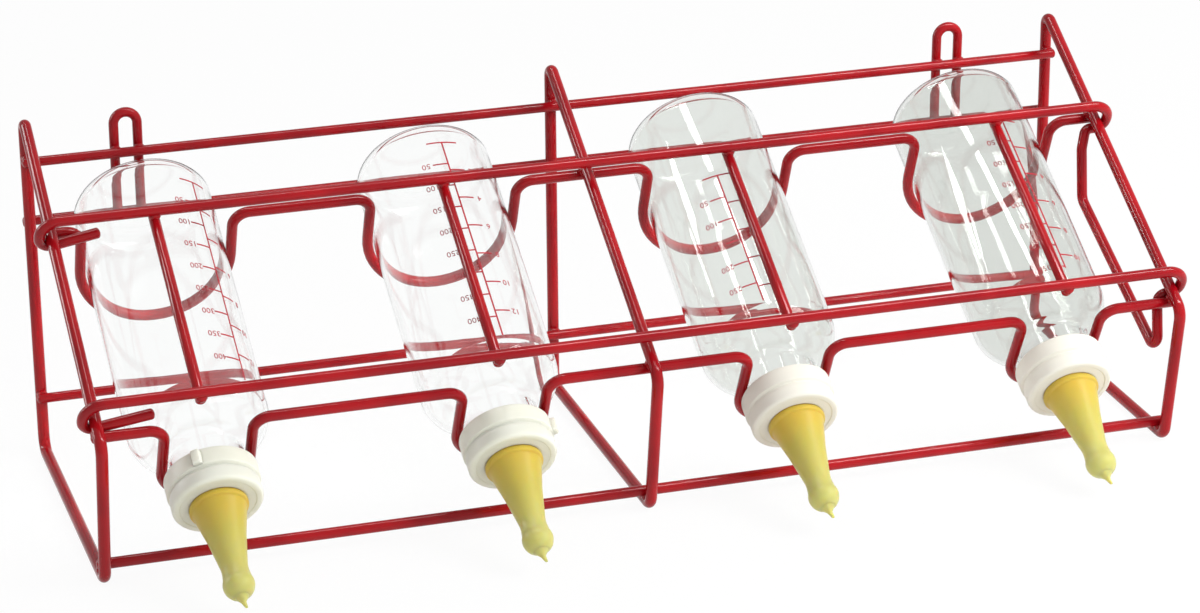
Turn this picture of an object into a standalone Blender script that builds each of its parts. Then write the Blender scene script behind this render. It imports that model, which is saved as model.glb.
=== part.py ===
"""Feeding bottle rack: a coated wire stand that holds four glass bottles nose down, with teats to the front.

World axes: +X along the row of bottles, -Y to the front where the teats point, +Z up.
The origin is the bottom centre of the whole object.  All sizes are in metres.
"""

import math

import bmesh
import bpy
from mathutils import Vector

# Clearance between pieces that touch
GAP = 0.0003

# Wire diameters
FRAME_WIRE = 0.0060
CRADLE_WIRE = 0.0055
GATE_WIRE = 0.0055
RAIL_WIRE = 0.0050

# Roundness of the model
WIRE_SIDES = 8
BEND_STEP = math.radians(23)
BEND_TOLERANCE = 0.0003
BOTTLE_SIDES = 24
TEAT_SIDES = 16

# Glass bottle
BODY_RADIUS = 0.0350
BODY_LENGTH = 0.1440
BASE_CORNER = 0.0090
PUNT_RIM = 0.0020
PUNT_DEPTH = 0.0030
SHOULDER_LENGTH = 0.0215
SHOULDER_ROUND = 0.0180
NECK_RADIUS = 0.0185
NECK_LENGTH = 0.0098
FINISH_BEAD = 0.0020
FINISH_LENGTH = 0.0122
GLASS_WALL = 0.0029

# Screw cap
CAP_WALL = 0.0021
CAP_STEP = 0.0005
CAP_BACK_TIER = 0.0090
CAP_GROOVE = 0.0010
CAP_FRONT_WALL = 0.0027
CAP_EDGE = 0.0020
LUG_REACH = 0.0028
THREAD_PLAY = 0.0004

# Teat
TEAT_OPENING = 0.0140
TEAT_FLANGE = 0.0022
TEAT_FLANGE_PLAY = 0.0013
TEAT_COLLAR = 0.0145
TEAT_WAIST = 0.0061
TEAT_BULB = 0.0077
TEAT_LENGTH = 0.0597
TEAT_NIB = 0.0060
TEAT_WALL = 0.0020

# The row of bottles, left to right
BOTTLE_PITCH = 0.1468
ROW_OFFSET = -0.0024
BOTTLE_SLIPS = (0.0044, 0.0022, 0.0, 0.0030)
CAP_TURNS = (1.85, 0.15, -1.40, -1.20)
BASE_CLEARANCE = 0.0016
AXIS_DEPTH = 0.0320

# Wire frames
SLOPE = math.radians(30.66)
FRONT_HEIGHT = 0.0733
FOOT_SETBACK = 0.0125
CORNER_PAST_CRADLE = 0.0111
END_MARGIN = 0.0566
APEX_BEND = 0.0036
FRAME_BEND = 0.0080

# Back rails, measured down from the apex or up from the foot
TOP_RAIL_DROP = 0.0214
MIDDLE_RAIL_DROP = 0.0566
LOWER_RAIL_HEIGHT = 0.0302

# Hanging loops
LOOP_CENTRES = (-0.2260, 0.2190)
LOOP_WIDTH = 0.0120
LOOP_RISE = 0.0199

# Cradles
REAR_CRADLE_FROM_BASE = 0.0428
NECK_SEAT = 0.0064
CRADLE_BEND = 0.0085
NECK_CRADLE_ROUND = 0.0155
BODY_CRADLE_LEAN = math.radians(8.0)
NECK_CRADLE_LEAN = math.radians(3.5)

# Gate that lies over the bottles
GATE_LENGTH = 0.1130
HOOK_BEND = 0.0105
HOOK_TAIL_TOP = 0.0240
HOOK_TAIL_BOTTOM = 0.0285
BAR_OVERRUN = 0.0020
BAR_OFFSETS = (-0.0039, -0.0041, -0.0002, 0.0005)

# Sprung dip that joins the two right hooks
DIP_INSET = 0.0075
DIP_DEPTH = 0.0340
DIP_FALL = 0.0247
DIP_TIP_INSET = 0.0083
DIP_TIP_DEPTH = 0.0260
DIP_TIP_PAST_GATE = 0.0240
DIP_SHOULDER_BEND = 0.0040
DIP_TIP_BEND = 0.0035
DIP_BEND = 0.0060

# Colours, roughness and metallic value of each material
LOOKS = {
    "red_coating": ((0.52, 0.012, 0.016), 0.22, 0.0),
    "clear_glass": ((0.93, 0.95, 0.94), 0.04, 0.0),
    "cap_plastic": ((0.76, 0.74, 0.66), 0.45, 0.0),
    "teat_rubber": ((0.78, 0.50, 0.06), 0.38, 0.0),
}

# Sizes that follow from the ones above
BOTTLE_COUNT = len(BOTTLE_SLIPS)
HALF_ROW = (BOTTLE_COUNT - 1) / 2 * BOTTLE_PITCH
BOTTLE_XS = [ROW_OFFSET - HALF_ROW + i * BOTTLE_PITCH for i in range(BOTTLE_COUNT)]
END_X = HALF_ROW + END_MARGIN
RAIL_OFFSET = FRAME_WIRE / 2 + GAP + RAIL_WIRE / 2
CRADLE_OFFSET = FRAME_WIRE / 2 + GAP + CRADLE_WIRE / 2
SHOULDER_END = BODY_LENGTH + SHOULDER_LENGTH
CAP_START = SHOULDER_END + NECK_LENGTH
LIP = CAP_START + GAP + FINISH_LENGTH + 0.0007
FLANGE_FRONT = LIP + GAP + TEAT_FLANGE
CAP_FACE = FLANGE_FRONT + GAP + CAP_FRONT_WALL
PUNT_RADIUS = BODY_RADIUS - BASE_CORNER - PUNT_RIM
FINISH_RADIUS = NECK_RADIUS + FINISH_BEAD
CAP_BORE = FINISH_RADIUS + THREAD_PLAY
TEAT_FLANGE_RADIUS = CAP_BORE - TEAT_FLANGE_PLAY
CAP_RADIUS = CAP_BORE + CAP_WALL
TEAT_TIP = CAP_FACE + TEAT_LENGTH

# Distances down the slope from the apex of the frames
RAIL_ALONG = MIDDLE_RAIL_DROP * math.sin(SLOPE) - RAIL_OFFSET * math.cos(SLOPE)
BASE_ALONG = RAIL_ALONG + RAIL_WIRE / 2 + BASE_CLEARANCE
REAR_CRADLE_ALONG = BASE_ALONG + REAR_CRADLE_FROM_BASE
NECK_CRADLE_ALONG = BASE_ALONG + CAP_START - NECK_SEAT
GATE_BOTTOM_ALONG = NECK_CRADLE_ALONG - (CRADLE_WIRE + GATE_WIRE) / 2 - GAP
GATE_TOP_ALONG = GATE_BOTTOM_ALONG - GATE_LENGTH

SLOPE_LENGTH = NECK_CRADLE_ALONG + CORNER_PAST_CRADLE

# Heights above the slope wires
GATE_BAR_HEIGHT = BODY_RADIUS - AXIS_DEPTH + GAP + GATE_WIRE / 2
GATE_WIRE_HEIGHT = GATE_BAR_HEIGHT + GATE_WIRE + GAP
HOOK_OFFSET = FRAME_WIRE / 2 + GAP + GATE_WIRE / 2


def bottom_depth():
    """How far forward of the back uprights the front foot stands."""
    return SLOPE_LENGTH * math.cos(SLOPE) - FOOT_SETBACK


def front_tip():
    """How far forward of the back uprights the foremost teat reaches."""
    along = BASE_ALONG + max(BOTTLE_SLIPS) + TEAT_TIP
    return along * math.cos(SLOPE) - AXIS_DEPTH * math.sin(SLOPE)


# Apex height above the foot, and where the uprights stand once the object is centred
APEX_HEIGHT = FRONT_HEIGHT + SLOPE_LENGTH * math.sin(SLOPE)
FLAT = math.cos(math.pi / WIRE_SIDES)
BACK_REACH = RAIL_OFFSET + RAIL_WIRE / 2 * FLAT
UPRIGHT_Y = (front_tip() - BACK_REACH) / 2
FOOT_Z = FRAME_WIRE / 2 * FLAT


def clear_scene():
    for obj in list(bpy.data.objects):
        bpy.data.objects.remove(obj, do_unlink=True)


def make_material(name):
    colour, roughness, metallic = LOOKS[name]
    material = bpy.data.materials.new(name)
    material.use_nodes = True
    shader = material.node_tree.nodes["Principled BSDF"]
    shader.inputs["Base Color"].default_value = (*colour, 1.0)
    shader.inputs["Roughness"].default_value = roughness
    shader.inputs["Metallic"].default_value = metallic
    if name == "clear_glass":
        shader.inputs["Transmission Weight"].default_value = 1.0
        shader.inputs["IOR"].default_value = 1.52
    return material


def make_empty(name, parent, location, rotation=(0.0, 0.0, 0.0)):
    empty = bpy.data.objects.new(name, None)
    empty.empty_display_size = 0.02
    return place(empty, parent, location, rotation)


def place(obj, parent, location, rotation=(0.0, 0.0, 0.0)):
    obj.parent = parent
    obj.location = location
    obj.rotation_euler = rotation
    bpy.context.scene.collection.objects.link(obj)
    return obj


def rounded_path(corners, radii, closed=False):
    """Straight runs between the corners, joined by arcs of the given radii."""
    corners = [Vector(corner) for corner in corners]
    count = len(corners)
    bends = range(count) if closed else range(1, count - 1)
    turns = {}
    reaches = {}
    for i in bends:
        ahead = corners[(i + 1) % count] - corners[i]
        turns[i] = (corners[i] - corners[i - 1]).angle(ahead)
        reaches[i] = radii[i] * math.tan(turns[i] / 2)

    # Two bends that share a run never take more than its length
    for i in range(count if closed else count - 1):
        j = (i + 1) % count
        wanted = reaches.get(i, 0.0) + reaches.get(j, 0.0)
        run = (corners[j] - corners[i]).length
        for k in (i, j):
            if k in reaches and wanted > run:
                reaches[k] *= run / wanted

    points = []
    for i, corner in enumerate(corners):
        if i not in turns:
            points.append(corner)
            continue
        points += bend_points(corners[i - 1], corner, corners[(i + 1) % count], turns[i], reaches[i])
    kept = []
    for point in points:
        if not kept or (point - kept[-1]).length > 1e-6:
            kept.append(point)
    return kept


def bend_points(before, corner, after, turn, reach):
    """Corners of straight chords that touch the arc from outside, so nothing inside the bend is cut."""
    arriving = (corner - before).normalized()
    leaving = (after - corner).normalized()
    radius = reach / math.tan(turn / 2)
    centre = corner + (leaving - arriving).normalized() * math.hypot(radius, reach)
    start = corner - arriving * reach
    widest = min(BEND_STEP, 2 * math.acos(radius / (radius + BEND_TOLERANCE)))
    steps = math.ceil(turn / widest)
    outward = 1 / math.cos(turn / steps / 2)
    points = []
    for k in range(steps):
        angle = turn * (k + 0.5) / steps
        arm = (start - centre) * math.cos(angle) + arriving * radius * math.sin(angle)
        points.append(centre + arm * outward)
    return points


def make_wire_curve(name, points, diameter, material, closed=False):
    """A round wire along the points, with its flats square to the plane that it bends in."""
    curve = bpy.data.curves.new(name, "CURVE")
    curve.dimensions = "3D"
    curve.bevel_depth = diameter / 2
    curve.bevel_resolution = (WIRE_SIDES - 4) // 2
    curve.use_fill_caps = True
    spline = curve.splines.new("POLY")
    spline.points.add(len(points) - 1)
    for target, point in zip(spline.points, points):
        target.co = (*point, 1.0)
        target.tilt = math.pi / WIRE_SIDES
    spline.use_cyclic_u = closed
    spline.use_smooth = True
    curve.materials.append(material)
    return curve


def make_wire(name, points, diameter, material, parent, location=(0.0, 0.0, 0.0), closed=False):
    curve = make_wire_curve(name, points, diameter, material, closed)
    return place(bpy.data.objects.new(name, curve), parent, location)


def make_turned(name, profile, sides, material, closed=False, lug_band=None):
    """A mesh turned about its own Z axis from a profile of (radius, height) points."""
    mesh_maker = bmesh.new()
    verts = [mesh_maker.verts.new((radius, 0.0, height)) for radius, height in profile]
    ends = verts + [verts[0]] if closed else verts
    edges = [mesh_maker.edges.new(pair) for pair in zip(ends, ends[1:])]
    bmesh.ops.spin(
        mesh_maker,
        geom=verts + edges,
        cent=(0.0, 0.0, 0.0),
        axis=(0.0, 0.0, 1.0),
        angle=2 * math.pi,
        steps=sides,
        use_merge=True,
    )
    bmesh.ops.remove_doubles(mesh_maker, verts=mesh_maker.verts, dist=1e-6)
    bmesh.ops.recalc_face_normals(mesh_maker, faces=mesh_maker.faces)
    if lug_band:
        add_lug(mesh_maker, *lug_band)
    mesh = bpy.data.meshes.new(name)
    mesh_maker.to_mesh(mesh)
    mesh_maker.free()
    mesh.materials.append(material)
    mesh.shade_smooth()
    mesh.set_sharp_from_angle(angle=math.radians(40))
    return mesh


def add_lug(mesh_maker, low, high, reach):
    """Draws the outermost face beside +X, between two heights, out into a small grip lug."""
    band = [
        face
        for face in mesh_maker.faces
        if low < face.calc_center_median().z < high and face.normal.x > 0.9
    ]
    face = max(band, key=lambda item: (round(item.calc_center_median().x, 5), item.calc_center_median().y))
    outward = face.normal.copy()
    drawn = bmesh.ops.extrude_discrete_faces(mesh_maker, faces=[face])["faces"][0]
    centre = drawn.calc_center_median()
    for vert in drawn.verts:
        vert.co = centre + (vert.co - centre) * 0.8 + outward * reach


def arc(centre, radius, start, end, steps):
    """Profile points on an arc, angles in radians from the outward direction towards +Z."""
    points = []
    for k in range(steps + 1):
        angle = start + (end - start) * k / steps
        points.append((centre[0] + radius * math.cos(angle), centre[1] + radius * math.sin(angle)))
    return points


def shell_side(inset, steps):
    """One side of the glass from the base to the neck, set in from the outside by the given amount."""
    base_centre = (BODY_RADIUS - BASE_CORNER, BASE_CORNER)
    fall = BODY_RADIUS - NECK_RADIUS
    sweep = (fall**2 + SHOULDER_LENGTH**2) / (2 * fall)
    tilt = math.asin(min(1.0, SHOULDER_LENGTH / sweep))
    if SHOULDER_LENGTH < fall:
        tilt = math.acos(1 - fall / sweep)
    shoulder = min(SHOULDER_ROUND, 0.8 * sweep)
    throat = sweep - shoulder
    shoulder_centre = (BODY_RADIUS - shoulder, BODY_LENGTH)
    throat_centre = (NECK_RADIUS + throat, SHOULDER_END)
    points = []
    for k in range(steps):
        radius = PUNT_RADIUS * k / (steps - 1)
        dish = PUNT_DEPTH * (1 - (radius / PUNT_RADIUS) ** 2)
        points.append((radius, dish + inset))
    points += arc(base_centre, BASE_CORNER - inset, -math.pi / 2, 0.0, steps)
    points += arc(shoulder_centre, shoulder - inset, 0.0, tilt, steps)
    points += arc(throat_centre, throat + inset, math.pi + tilt, math.pi, steps)[1:]
    return points


def bottle_profile():
    outside = shell_side(0.0, 3)
    finish = [
        (NECK_RADIUS, CAP_START + GAP),
        (FINISH_RADIUS, CAP_START + GAP + 0.0007),
        (FINISH_RADIUS, LIP - 0.0010),
        (FINISH_RADIUS - 0.0010, LIP),
        (NECK_RADIUS - GLASS_WALL, LIP),
    ]
    inside = shell_side(GLASS_WALL, 2)
    return outside + finish + inside[::-1]


def cap_profile():
    """A stepped ring with a front wall that holds the teat, heights measured from its back edge."""
    face = CAP_FACE - CAP_START
    front = CAP_RADIUS - CAP_STEP
    groove = front - CAP_STEP
    return [
        (CAP_BORE, 0.0),
        (CAP_RADIUS - CAP_STEP, 0.0),
        (CAP_RADIUS, CAP_STEP),
        (CAP_RADIUS, CAP_BACK_TIER),
        (groove, CAP_BACK_TIER + CAP_STEP),
        (groove, CAP_BACK_TIER + CAP_STEP + CAP_GROOVE),
        (front, CAP_BACK_TIER + 2 * CAP_STEP + CAP_GROOVE),
        (front, face - CAP_EDGE),
        (front - CAP_EDGE, face),
        (TEAT_OPENING, face),
        (TEAT_OPENING, face - CAP_FRONT_WALL),
        (CAP_BORE, face - CAP_FRONT_WALL),
    ]


def teat_outside():
    """From the tip back to the flange, heights measured from the flange's back face."""
    tip = TEAT_TIP - LIP - GAP
    face = CAP_FACE - LIP - GAP
    bulb_end = tip - TEAT_NIB
    bulb_centre = bulb_end - TEAT_BULB + 0.0006
    waist = bulb_centre - 1.15 * TEAT_BULB
    cone = waist - face - 0.0040
    points = [
        (0.0, tip),
        (0.0008, tip - 0.0004),
        (0.0021, bulb_end),
    ]
    points += arc((0.0, bulb_centre), TEAT_BULB, math.radians(64), math.radians(-28), 4)
    points += [
        (TEAT_WAIST, waist),
        (TEAT_WAIST + (TEAT_COLLAR - TEAT_WAIST) * 0.40, waist - cone * 0.55),
        (TEAT_WAIST + (TEAT_COLLAR - TEAT_WAIST) * 0.80, waist - cone * 0.92),
        (TEAT_COLLAR, face + GAP + 0.0020),
        (TEAT_COLLAR, face + GAP + 0.0006),
        (TEAT_OPENING - GAP, face + GAP),
        (TEAT_OPENING - GAP, TEAT_FLANGE),
        (TEAT_FLANGE_RADIUS, TEAT_FLANGE),
        (TEAT_FLANGE_RADIUS, 0.0),
    ]
    return points


def teat_inside():
    """From the flange forward to the closed end of the bulb."""
    tip = TEAT_TIP - LIP - GAP
    face = CAP_FACE - LIP - GAP
    bulb_centre = tip - TEAT_NIB - TEAT_BULB + 0.0006
    waist = bulb_centre - 1.15 * TEAT_BULB
    points = [
        (TEAT_OPENING - GAP - TEAT_WALL, 0.0),
        (TEAT_OPENING - GAP - TEAT_WALL, face + 0.0020),
        (TEAT_WAIST - TEAT_WALL, waist),
    ]
    points += arc((0.0, bulb_centre), TEAT_BULB - TEAT_WALL, math.radians(-25), math.radians(90), 4)
    return points


def build_frames(rack, red):
    """Three closed wire loops: back upright, foot, leaning front leg and the slope that carries the cradles."""
    depth = bottom_depth()
    corners = [
        (0.0, 0.0, APEX_HEIGHT),
        (0.0, 0.0, 0.0),
        (0.0, -depth, 0.0),
        (0.0, -depth - FOOT_SETBACK, FRONT_HEIGHT),
    ]
    points = rounded_path(corners, [APEX_BEND, FRAME_BEND, CRADLE_OFFSET, FRAME_BEND], closed=True)
    curve = make_wire_curve("wire_frame", points, FRAME_WIRE, red, closed=True)
    for name, x in (("left_end_frame", -END_X), ("middle_frame", ROW_OFFSET), ("right_end_frame", END_X)):
        place(bpy.data.objects.new(name, curve), rack, (x, 0.0, 0.0))


def build_rails(rack, red):
    """Straight wires that tie the three frames together."""
    half = END_X + FRAME_WIRE / 2
    left = Vector((-half, 0.0, 0.0))
    right = Vector((half, 0.0, 0.0))
    top = APEX_HEIGHT - TOP_RAIL_DROP
    middle = APEX_HEIGHT - MIDDLE_RAIL_DROP
    make_wire("top_back_rail", [left, right], RAIL_WIRE, red, rack, (0.0, -RAIL_OFFSET, top))
    make_wire("middle_back_rail", [left, right], RAIL_WIRE, red, rack, (0.0, RAIL_OFFSET, middle))
    make_wire(
        "lower_back_rail", [left, right], RAIL_WIRE, red, rack, (0.0, -RAIL_OFFSET, LOWER_RAIL_HEIGHT)
    )

    # The front rail nests in the bends where the foot wires turn up into the legs
    foot_turn = math.pi / 2 - math.atan2(FOOT_SETBACK, FRONT_HEIGHT)
    front = -bottom_depth() + CRADLE_OFFSET * math.tan(foot_turn / 2)
    make_wire("bottom_front_rail", [left, right], CRADLE_WIRE, red, rack, (0.0, front, CRADLE_OFFSET))


def build_hanging_loops(rack, red):
    """Two inverted U wires that rise above the back, behind the top rail and in front of the middle one."""
    between = MIDDLE_RAIL_DROP - TOP_RAIL_DROP
    offset = RAIL_OFFSET - RAIL_WIRE - GAP
    lean = math.atan2(2 * offset, between)
    rise = (between + LOOP_RISE) / math.cos(lean)
    tail = -RAIL_WIRE * 0.3
    half = LOOP_WIDTH / 2
    corners = [(-half, 0.0, tail), (-half, 0.0, rise), (half, 0.0, rise), (half, 0.0, tail)]
    points = rounded_path(corners, [half] * 4)
    height = APEX_HEIGHT - MIDDLE_RAIL_DROP
    for name, x in zip(("left_hanging_loop", "right_hanging_loop"), LOOP_CENTRES):
        loop = make_wire(name, points, RAIL_WIRE, red, rack, (x, offset, height))
        loop.rotation_euler = (lean, 0.0, 0.0)


def cradle_path(half_width, round_radius, lean):
    """A cross wire that drops into a U under each bottle, leaning forward on the way down."""
    drop = AXIS_DEPTH - CRADLE_OFFSET + half_width
    forward = drop * math.tan(lean)
    corners = [(-END_X - FRAME_WIRE / 2, 0.0, 0.0)]
    radii = [0.0]
    for x in BOTTLE_XS:
        corners.append((x - half_width, 0.0, 0.0))
        corners.append((x - half_width, -drop, forward))
        corners.append((x + half_width, -drop, forward))
        corners.append((x + half_width, 0.0, 0.0))
        radii += [CRADLE_BEND, round_radius, round_radius, CRADLE_BEND]
    corners.append((END_X + FRAME_WIRE / 2, 0.0, 0.0))
    radii.append(0.0)
    return rounded_path(corners, radii)


def build_cradles(slope, red):
    """The rear wire carries the bottle bodies, and the front one their necks."""
    body = BODY_RADIUS + GAP + CRADLE_WIRE / 2
    neck = NECK_RADIUS + GAP + CRADLE_WIRE / 2
    rear = cradle_path(body, body, BODY_CRADLE_LEAN)
    front = cradle_path(neck, min(neck, NECK_CRADLE_ROUND), NECK_CRADLE_LEAN)
    make_wire("rear_bottle_cradle", rear, CRADLE_WIRE, red, slope, (0.0, -CRADLE_OFFSET, REAR_CRADLE_ALONG))
    make_wire("front_neck_cradle", front, CRADLE_WIRE, red, slope, (0.0, -CRADLE_OFFSET, NECK_CRADLE_ALONG))


def hook_low_point(tail):
    """How far below a slope wire the corner of a hook lies whose tail ends level with that wire."""
    return (HOOK_OFFSET + tail) * math.tan(math.asin(HOOK_OFFSET / tail))


def build_gate(slope, red):
    """One long wire hooked round both end frames, with a bar along each bottle."""
    gate = make_empty("gate", slope, (0.0, GATE_WIRE_HEIGHT, GATE_TOP_ALONG))
    outer = END_X + HOOK_OFFSET
    under = -HOOK_OFFSET
    length = GATE_LENGTH
    shoulder = END_X - DIP_SHOULDER_BEND
    inside = END_X - DIP_INSET

    # Each corner as (across, height above the slope wires, distance down the gate) and its bend
    left_start = [
        ((-END_X + HOOK_TAIL_TOP, 0.0, 0.0), 0.0),
        ((-outer, -hook_low_point(HOOK_TAIL_TOP), 0.0), HOOK_OFFSET),
        ((-outer, GATE_WIRE_HEIGHT, 0.0), HOOK_BEND),
    ]
    right = [
        ((outer, GATE_WIRE_HEIGHT, 0.0), HOOK_BEND),
        ((outer, under, 0.0), HOOK_OFFSET),
        ((shoulder, under, 0.0), DIP_SHOULDER_BEND),
        ((inside, 2 * under, DIP_FALL / 3), DIP_BEND),
        ((inside, -DIP_DEPTH, DIP_FALL), DIP_BEND),
        ((END_X - DIP_TIP_INSET, -DIP_TIP_DEPTH, length + DIP_TIP_PAST_GATE), DIP_TIP_BEND),
        ((shoulder, 2 * under, length + GATE_WIRE / 4), DIP_SHOULDER_BEND),
        ((shoulder, under, length), DIP_SHOULDER_BEND),
        ((outer, under, length), HOOK_OFFSET),
        ((outer, GATE_WIRE_HEIGHT, length), HOOK_BEND),
    ]
    left_end = [
        ((-outer, GATE_WIRE_HEIGHT, length), HOOK_BEND),
        ((-outer, -hook_low_point(HOOK_TAIL_BOTTOM), length), HOOK_OFFSET),
        ((-END_X + HOOK_TAIL_BOTTOM, 0.0, length), 0.0),
    ]
    path = left_start + right + left_end
    corners = [(x, height - GATE_WIRE_HEIGHT, along) for (x, height, along), _ in path]
    radii = [radius for _, radius in path]
    make_wire("gate_wire", rounded_path(corners, radii), GATE_WIRE, red, gate)

    start = Vector((0.0, 0.0, -GATE_WIRE / 2))
    end = Vector((0.0, 0.0, length + BAR_OVERRUN))
    bar_drop = GATE_BAR_HEIGHT - GATE_WIRE_HEIGHT
    for i, (x, offset) in enumerate(zip(BOTTLE_XS, BAR_OFFSETS), start=1):
        make_wire(f"gate_bar_{i}", [start, end], GATE_WIRE, red, gate, (x + offset, bar_drop, 0.0))


def build_bottles(slope, materials):
    """Each bottle turns about its own axis, and its cap and teat turn on it."""
    bottle_mesh = make_turned("bottle", bottle_profile(), BOTTLE_SIDES, materials["clear_glass"])
    cap_mesh = make_turned(
        "cap",
        cap_profile(),
        BOTTLE_SIDES,
        materials["cap_plastic"],
        closed=True,
        lug_band=(CAP_STEP, CAP_BACK_TIER, LUG_REACH),
    )
    teat_profile = teat_outside() + teat_inside()
    teat_mesh = make_turned("teat", teat_profile, TEAT_SIDES, materials["teat_rubber"])
    for i, (x, slip, turn) in enumerate(zip(BOTTLE_XS, BOTTLE_SLIPS, CAP_TURNS), start=1):
        bottle = bpy.data.objects.new(f"bottle_{i}", bottle_mesh)
        place(bottle, slope, (x, -AXIS_DEPTH, BASE_ALONG + slip))
        cap = bpy.data.objects.new(f"cap_{i}", cap_mesh)
        place(cap, bottle, (0.0, 0.0, CAP_START), (0.0, 0.0, turn))
        teat = bpy.data.objects.new(f"teat_{i}", teat_mesh)
        place(teat, cap, (0.0, 0.0, LIP + GAP - CAP_START))


def main():
    clear_scene()
    materials = {name: make_material(name) for name in LOOKS}
    red = materials["red_coating"]
    rack = make_empty("rack", None, (0.0, UPRIGHT_Y, FOOT_Z))

    # Along the slope: local +Z runs down it to the front, and local +Y stands out of it
    slope = make_empty("slope", rack, (0.0, 0.0, APEX_HEIGHT), (math.pi / 2 + SLOPE, 0.0, 0.0))
    build_frames(rack, red)
    build_rails(rack, red)
    build_hanging_loops(rack, red)
    build_cradles(slope, red)
    build_gate(slope, red)
    build_bottles(slope, materials)


main()
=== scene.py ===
"""Looks of the feeding bottle rack: coated wires, glass bottles, screw caps and rubber teats.

World axes: +X along the row of bottles, -Y to the front where the teats point, +Z up. Sizes are in metres.
"""

import math

import bmesh
import bpy
from mathutils import Matrix, Vector


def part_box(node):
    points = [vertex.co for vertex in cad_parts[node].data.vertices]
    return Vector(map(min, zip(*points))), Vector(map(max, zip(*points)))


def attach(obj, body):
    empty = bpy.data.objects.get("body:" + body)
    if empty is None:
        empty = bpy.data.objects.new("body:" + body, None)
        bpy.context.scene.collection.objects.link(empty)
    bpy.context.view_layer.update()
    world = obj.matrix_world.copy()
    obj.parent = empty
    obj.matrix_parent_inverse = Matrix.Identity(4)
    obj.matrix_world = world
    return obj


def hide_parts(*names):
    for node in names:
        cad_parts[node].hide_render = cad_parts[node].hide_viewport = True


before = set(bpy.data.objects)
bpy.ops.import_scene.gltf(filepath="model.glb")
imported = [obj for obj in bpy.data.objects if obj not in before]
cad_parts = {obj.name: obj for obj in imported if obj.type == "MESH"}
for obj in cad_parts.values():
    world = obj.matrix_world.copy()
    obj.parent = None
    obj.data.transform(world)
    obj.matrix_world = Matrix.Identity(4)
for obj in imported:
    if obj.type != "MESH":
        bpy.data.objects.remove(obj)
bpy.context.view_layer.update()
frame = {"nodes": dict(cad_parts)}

bl_info = {
    "name": "Feeding Bottle Rack",
    "version": (1, 0, 0),
    "blender": (4, 5, 0),
    "location": "View3D > Sidebar > Bottle Rack",
    "description": "Builds the coated wires, glass bottles, caps and teats of a feeding bottle rack",
    "category": "Add Mesh",
}

BOTTLES = (1, 2, 3, 4)
MELTS = ("glass", "glass", "glass_grey", "glass_dark")
USED_CAPS = (1, 2)
FRAMES = ("left_end_frame", "middle_frame", "right_end_frame")
BACK_RAILS = ("top_back_rail", "middle_back_rail", "lower_back_rail")
LOOPS = ("left_hanging_loop", "right_hanging_loop")

# Meshes: merge distances, the angle past which an edge stays sharp, and the coating's domed ends
SAME_POINT = 1e-6
WIRE_MERGE = 1e-7
TURNED_MERGE = 1e-6
SHARP_ANGLE = math.radians(35)
DOME_ANGLES = (1.45, 1.1, 0.75, 0.4, 0.0)
DOME_REACH = 0.6
DOME_TIP = 0.05

# The gate wire's sprung dip at the right, with its bends
DIP_INSET = 0.0075
DIP_FALL_START = 0.0082
DIP_DEPTH = 0.0340
DIP_FALL = 0.0247
DIP_TIP_INSET = 0.0083
DIP_TIP_DEPTH = 0.0260
DIP_TIP_PAST_GATE = 0.0240
DIP_SHOULDER_BEND = 0.0040
DIP_BEND = 0.0060
DIP_TIP_BEND = 0.0035

# The hanging loops: feet behind the middle, crown in front of the feet, beads beside the rails
LOOP_FEET_BACK = 0.0005
LOOP_CROWN_FORWARD = 0.0016
LOOP_BEAD_SHIFT = 0.0022
LOOP_ROUND = 0.99

# The cap's lug: its gaps to the tier's two ends, its root inside the wall, its tapers and its edges
LUG_GAPS = (0.0010, 0.0003)
LUG_ROOT = 0.0010
LUG_TAPERS = (0.8, 1.1)
LUG_EDGE = 0.0007

# The teat's nib: its radii at the tip, in the middle and where it leaves the bulb
NIB_RADII = (0.0007, 0.0013, 0.0038)

# The floor: its half width, its white and the share of glow that the camera and mirrors see
FLOOR_HALF = 8.0
FLOOR_WHITE = (0.86, 0.86, 0.86, 1.0)
FLOOR_GLOW = 0.94

# Each lamp's power, place, target, width, height and the pieces that mirror it, where any do
LAMPS = {
    "key_lamp": ("key", (0.85, -0.50, 0.85), (0.10, 0.0, 0.08), 0.6, 0.6, None),
    "front_lamp": ("fill", (0.75, -1.50, 0.80), (0.0, 0.0, 0.08), 1.2, 0.8, None),
    "side_lamp": ("strip", (-1.30, 0.72, 0.66), (0.10, 0.0, 0.10), 0.17, 1.00, "glossy"),
    "overhead_lamp": ("top", (-0.22, 0.34, 1.45), (0.10, 0.0, 0.10), 0.12, 1.30, "glossy"),
    "gleam_lamp": ("gleam", (0.75, -0.30, 1.35), (0.75, 0.0, 0.10), 1.10, 0.20, "wires"),
}
SENSOR_WIDTH = 36.0
CAMERA_REACH = 50.0


# Property makers
def length(label, text, default):
    return bpy.props.FloatProperty(
        name=label, description=text, default=default, unit="LENGTH", subtype="DISTANCE", precision=5
    )


def turn(label, text, degrees):
    return bpy.props.FloatProperty(
        name=label, description=text, default=math.radians(degrees), unit="ROTATION", subtype="ANGLE"
    )


def four(label, text, defaults):
    return bpy.props.FloatVectorProperty(
        name=label, description=text, size=4, default=defaults, precision=5
    )


def number(label, text, default):
    return bpy.props.FloatProperty(name=label, description=text, default=default)


def count(label, text, default):
    return bpy.props.IntProperty(name=label, description=text, default=default, min=1)


def colour(label, text, default):
    return bpy.props.FloatVectorProperty(
        name=label, description=text, size=3, default=default, min=0.0, max=1.0, subtype="COLOR"
    )


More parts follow.
